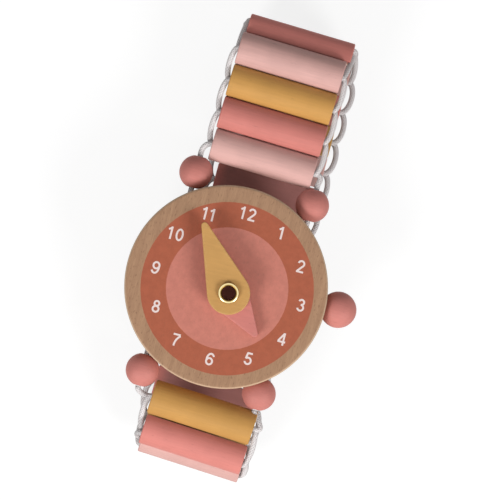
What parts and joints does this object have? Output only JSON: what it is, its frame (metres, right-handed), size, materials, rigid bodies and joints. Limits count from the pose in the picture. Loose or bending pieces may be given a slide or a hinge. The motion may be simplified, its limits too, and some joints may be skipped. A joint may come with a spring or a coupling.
{
  "type": "toy watch",
  "caption": "Wooden toy watch with turning hands on a brass eyelet, bead lugs and crown, and a closed strap of half-round slats threaded on elastic cord.",
  "frame": {"origin": "on the axis of the eyelet that the hands turn on, at the level of the dial face; the middle of the disc lies 0.7 mm towards 9 and 0.9 mm towards 12 from it", "axes": "+X towards 3 o'clock and the crown, +Y towards 12 o'clock along the strap, +Z out of the dial"},
  "size_m": [0.0415, 0.0815, 0.0231],
  "materials": {
    "beech": "bare, fine sanded",
    "rose_paint": "matt paint",
    "ochre_paint": "matt paint",
    "light_pink_paint": "matt paint",
    "coral_paint": "matt paint",
    "mustard_paint": "matt paint",
    "brass": "polished",
    "elastic": "woven"
  },
  "bodies": {
    "head": {"disc": "beech", "eyelet": "brass", "eyelet_washer": "brass", "crown_bead": "rose_paint", "crown_peg": "beech", "lug_bead_11": "rose_paint", "lug_bead_1": "rose_paint", "lug_bead_5": "rose_paint", "lug_bead_7": "rose_paint", "elastic_head": "elastic", "elastic_lug_top": "elastic", "elastic_lug_bottom": "elastic"},
    "hour_hand": {"hour_hand": "rose_paint"},
    "minute_hand": {"minute_hand": "ochre_paint"},
    "slat_01": {"slat_01": "light_pink_paint", "elastic_link_01": "elastic"},
    "slat_02": {"slat_02": "coral_paint", "elastic_link_02": "elastic"},
    "slat_03": {"slat_03": "mustard_paint", "elastic_link_03": "elastic"},
    "slat_04": {"slat_04": "light_pink_paint", "elastic_link_04": "elastic"},
    "slat_05": {"slat_05": "coral_paint", "elastic_link_05": "elastic"},
    "slat_06": {"slat_06": "mustard_paint", "elastic_link_06": "elastic"},
    "slat_07": {"slat_07": "light_pink_paint", "elastic_link_07": "elastic"},
    "slat_08": {"slat_08": "coral_paint", "elastic_link_08": "elastic"},
    "slat_09": {"slat_09": "mustard_paint", "elastic_link_09": "elastic"},
    "slat_10": {"slat_10": "light_pink_paint", "elastic_link_10": "elastic"},
    "slat_11": {"slat_11": "coral_paint", "elastic_half_11": "elastic"},
    "slat_12": {"slat_12": "mustard_paint", "elastic_half_12": "elastic"},
    "slat_13": {"slat_13": "light_pink_paint", "elastic_link_12": "elastic"},
    "slat_14": {"slat_14": "coral_paint", "elastic_link_13": "elastic"},
    "slat_15": {"slat_15": "mustard_paint", "elastic_link_14": "elastic"},
    "slat_16": {"slat_16": "light_pink_paint", "elastic_link_15": "elastic"},
    "slat_17": {"slat_17": "coral_paint", "elastic_link_16": "elastic"},
    "slat_18": {"slat_18": "mustard_paint", "elastic_link_17": "elastic"},
    "slat_19": {"slat_19": "light_pink_paint", "elastic_link_18": "elastic"},
    "slat_20": {"slat_20": "coral_paint", "elastic_link_19": "elastic"},
    "slat_21": {"slat_21": "mustard_paint", "elastic_link_20": "elastic"}
  },
  "joints": [
    {"name": "hour_hand_turn", "type": "hinge", "parent": "head", "child": "hour_hand", "pos_m": [0, 0, 0.00095], "axis": [0, 0, -1], "continuous": true},
    {"name": "minute_hand_turn", "type": "hinge", "parent": "head", "child": "minute_hand", "pos_m": [0, 0, 0.0027], "axis": [0, 0, -1], "continuous": true},
    {"name": "strap_open", "type": "hinge", "parent": "head", "child": "slat_01", "pos_m": [0, 0.02173, -0.0057], "axis": [-1, 0, 0], "range_deg": [0, 59.57], "deforming": ["elastic_lug_top"]},
    {"name": "slat_02_hinge", "type": "hinge", "parent": "slat_01", "child": "slat_02", "pos_m": [0, 0.0276, -0.00513], "axis": [-1, 0, 0], "range_deg": [0, 11.7], "deforming": ["elastic_link_01"]},
    {"name": "slat_03_hinge", "type": "hinge", "parent": "slat_02", "child": "slat_03", "pos_m": [0, 0.03347, -0.00455], "axis": [-1, 0, 0], "range_deg": [0, 11.74], "deforming": ["elastic_link_02"]},
    {"name": "slat_04_hinge", "type": "hinge", "parent": "slat_03", "child": "slat_04", "pos_m": [0, 0.03935, -0.00398], "axis": [-1, 0, 0], "range_deg": [0, 12.15], "deforming": ["elastic_link_03"]},
    {"name": "slat_05_hinge", "type": "hinge", "parent": "slat_04", "child": "slat_05", "pos_m": [0, 0.04522, -0.0034], "axis": [-1, 0, 0], "range_deg": [-82.82, 0], "deforming": ["elastic_link_04"]},
    {"name": "slat_06_hinge", "type": "hinge", "parent": "slat_05", "child": "slat_06", "pos_m": [0, 0.04522, -0.0093], "axis": [-1, 0, 0], "range_deg": [0, 13.48], "deforming": ["elastic_link_05"]},
    {"name": "slat_07_hinge", "type": "hinge", "parent": "slat_06", "child": "slat_07", "pos_m": [0, 0.04522, -0.0152], "axis": [-1, 0, 0], "range_deg": [-75.66, 0], "deforming": ["elastic_link_06"]},
    {"name": "slat_08_hinge", "type": "hinge", "parent": "slat_07", "child": "slat_08", "pos_m": [0, 0.03909, -0.0152], "axis": [-1, 0, 0], "range_deg": [0, 13.27], "deforming": ["elastic_link_07"]},
    {"name": "slat_09_hinge", "type": "hinge", "parent": "slat_08", "child": "slat_09", "pos_m": [0, 0.03296, -0.0152], "axis": [-1, 0, 0], "range_deg": [0, 12.27], "deforming": ["elastic_link_08"]},
    {"name": "slat_10_hinge", "type": "hinge", "parent": "slat_09", "child": "slat_10", "pos_m": [0, 0.02683, -0.0152], "axis": [-1, 0, 0], "range_deg": [0, 11.73], "deforming": ["elastic_link_09"]},
    {"name": "slat_11_hinge", "type": "hinge", "parent": "slat_10", "child": "slat_11", "pos_m": [0, 0.0207, -0.0152], "axis": [-1, 0, 0], "range_deg": [0, 11.59], "deforming": ["elastic_link_10"]},
    {"name": "slat_21_hinge", "type": "hinge", "parent": "head", "child": "slat_21", "pos_m": [0, -0.01945, -0.0057], "axis": [1, 0, 0], "range_deg": [0, 55.49], "deforming": ["elastic_lug_bottom"]},
    {"name": "slat_20_hinge", "type": "hinge", "parent": "slat_21", "child": "slat_20", "pos_m": [0, -0.02535, -0.0057], "axis": [1, 0, 0], "range_deg": [-28.59, 0], "deforming": ["elastic_link_20"]},
    {"name": "slat_19_hinge", "type": "hinge", "parent": "slat_20", "child": "slat_19", "pos_m": [0, -0.02986, -0.0095], "axis": [1, 0, 0], "range_deg": [-53.78, 0], "deforming": ["elastic_link_19"]},
    {"name": "slat_18_hinge", "type": "hinge", "parent": "slat_19", "child": "slat_18", "pos_m": [0, -0.02834, -0.0152], "axis": [1, 0, 0], "range_deg": [-62.96, 0], "deforming": ["elastic_link_18"]},
    {"name": "slat_17_hinge", "type": "hinge", "parent": "slat_18", "child": "slat_17", "pos_m": [0, -0.02221, -0.0152], "axis": [1, 0, 0], "range_deg": [0, 13.31], "deforming": ["elastic_link_17"]},
    {"name": "slat_16_hinge", "type": "hinge", "parent": "slat_17", "child": "slat_16", "pos_m": [0, -0.01608, -0.0152], "axis": [1, 0, 0], "range_deg": [0, 13.69], "deforming": ["elastic_link_16"]},
    {"name": "slat_15_hinge", "type": "hinge", "parent": "slat_16", "child": "slat_15", "pos_m": [0, -0.00995, -0.0152], "axis": [1, 0, 0], "range_deg": [0, 13.66], "deforming": ["elastic_link_15"]},
    {"name": "slat_14_hinge", "type": "hinge", "parent": "slat_15", "child": "slat_14", "pos_m": [0, -0.00382, -0.0152], "axis": [1, 0, 0], "range_deg": [0, 13.33], "deforming": ["elastic_link_14"]},
    {"name": "slat_13_hinge", "type": "hinge", "parent": "slat_14", "child": "slat_13", "pos_m": [0, 0.00231, -0.0152], "axis": [1, 0, 0], "range_deg": [0, 12.83], "deforming": ["elastic_link_13"]},
    {"name": "slat_12_hinge", "type": "hinge", "parent": "slat_13", "child": "slat_12", "pos_m": [0, 0.00844, -0.0152], "axis": [1, 0, 0], "range_deg": [0, 12.3], "deforming": ["elastic_link_12"]}
  ],
  "couplings": [
    {"joint": "slat_02_hinge", "follows": "strap_open", "ratio": 0.19473},
    {"joint": "slat_03_hinge", "follows": "strap_open", "ratio": 0.1954},
    {"joint": "slat_04_hinge", "follows": "strap_open", "ratio": 0.20228},
    {"joint": "slat_05_hinge", "follows": "strap_open", "ratio": -1.3886},
    {"joint": "slat_06_hinge", "follows": "strap_open", "ratio": 0.22461},
    {"joint": "slat_07_hinge", "follows": "strap_open", "ratio": -1.2684},
    {"joint": "slat_08_hinge", "follows": "strap_open", "ratio": 0.22108},
    {"joint": "slat_09_hinge", "follows": "strap_open", "ratio": 0.2043},
    {"joint": "slat_10_hinge", "follows": "strap_open", "ratio": 0.19523},
    {"joint": "slat_11_hinge", "follows": "strap_open", "ratio": 0.19288},
    {"joint": "slat_21_hinge", "follows": "strap_open", "ratio": 0.92983},
    {"joint": "slat_20_hinge", "follows": "strap_open", "ratio": -0.47826},
    {"joint": "slat_19_hinge", "follows": "strap_open", "ratio": -0.90112},
    {"joint": "slat_18_hinge", "follows": "strap_open", "ratio": -1.0552},
    {"joint": "slat_17_hinge", "follows": "strap_open", "ratio": 0.22176},
    {"joint": "slat_16_hinge", "follows": "strap_open", "ratio": 0.22813},
    {"joint": "slat_15_hinge", "follows": "strap_open", "ratio": 0.22763},
    {"joint": "slat_14_hinge", "follows": "strap_open", "ratio": 0.22209},
    {"joint": "slat_13_hinge", "follows": "strap_open", "ratio": 0.2137},
    {"joint": "slat_12_hinge", "follows": "strap_open", "ratio": 0.2048}
  ]
}
